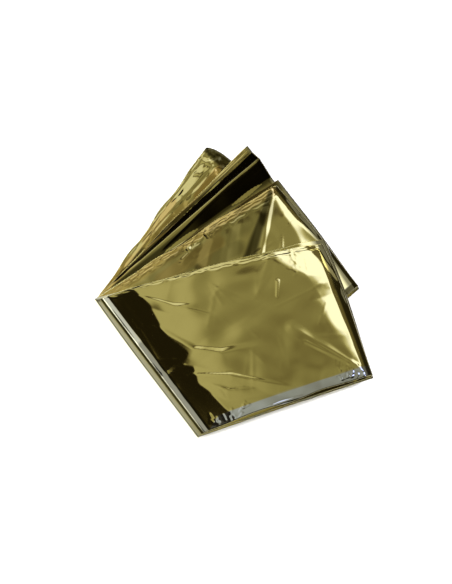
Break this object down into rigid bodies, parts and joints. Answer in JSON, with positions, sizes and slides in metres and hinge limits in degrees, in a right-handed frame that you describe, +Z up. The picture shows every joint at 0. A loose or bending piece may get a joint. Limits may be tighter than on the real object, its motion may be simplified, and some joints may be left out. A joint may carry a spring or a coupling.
{
  "type": "emergency foil blanket",
  "caption": "Thin gold metallised film blanket, folded into a strip, zigzagged into leaves and fanned out flat.",
  "frame": {"origin": "on the surface it rests on, under the middle of the fan's box", "axes": "+Z up through the leaves, +Y towards the far ends of the fanned leaves, +X towards the front leaf's free corner"},
  "size_m": [0.1738, 0.1958, 0.026],
  "materials": {
    "gold_film": "thin metallised polyester film, gold outside and silver inside, mirror bright with fine crinkles"
  },
  "bodies": {
    "root": {"foil_blanket": "gold_film"}
  },
  "joints": []
}
